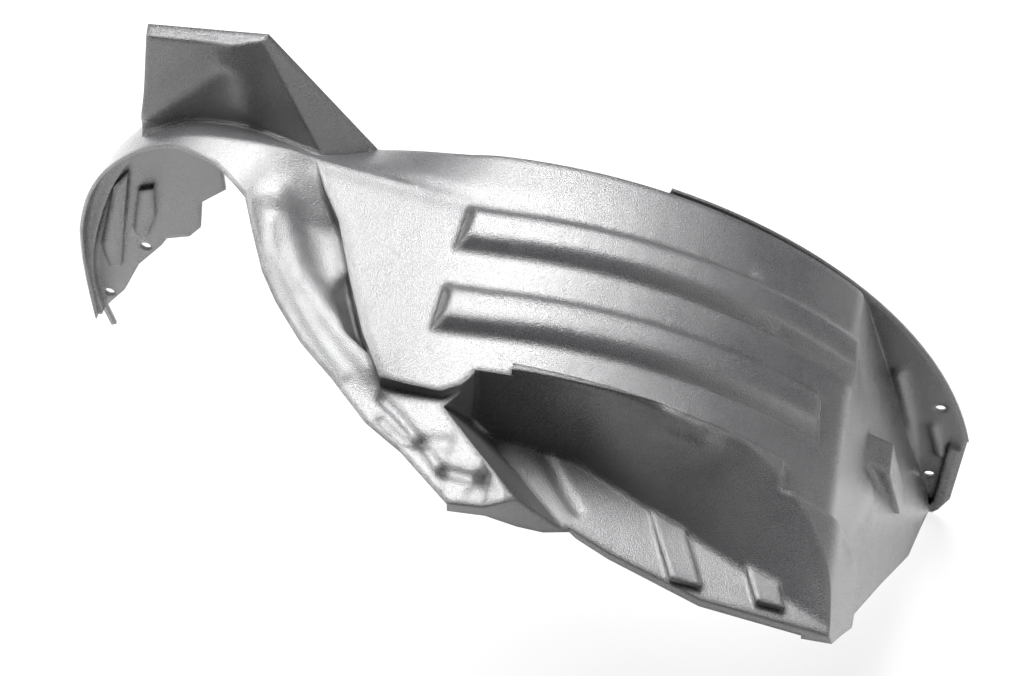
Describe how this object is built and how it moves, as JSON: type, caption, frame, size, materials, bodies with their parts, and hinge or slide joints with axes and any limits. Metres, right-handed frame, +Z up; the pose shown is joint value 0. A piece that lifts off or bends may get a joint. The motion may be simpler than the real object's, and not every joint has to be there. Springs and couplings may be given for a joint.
{
  "type": "wheel arch liner",
  "caption": "Thermoformed wheel arch liner: a ribbed roof over the wheel, a tall pod, a strut cut-out, a stepped inner shelf and an outer lip with fixing holes.",
  "frame": {"origin": "centre of the fixing hole in the lip beside the end panel, on the outer face of the lip", "axes": "+X along the vehicle towards the end panel, +Y outboard along the hole, +Z up, as installed"},
  "size_m": [0.7921, 0.305, 0.5301],
  "materials": {
    "sheet": "satin, fine grain"
  },
  "bodies": {
    "root": {"arch_liner": "sheet"}
  },
  "joints": []
}
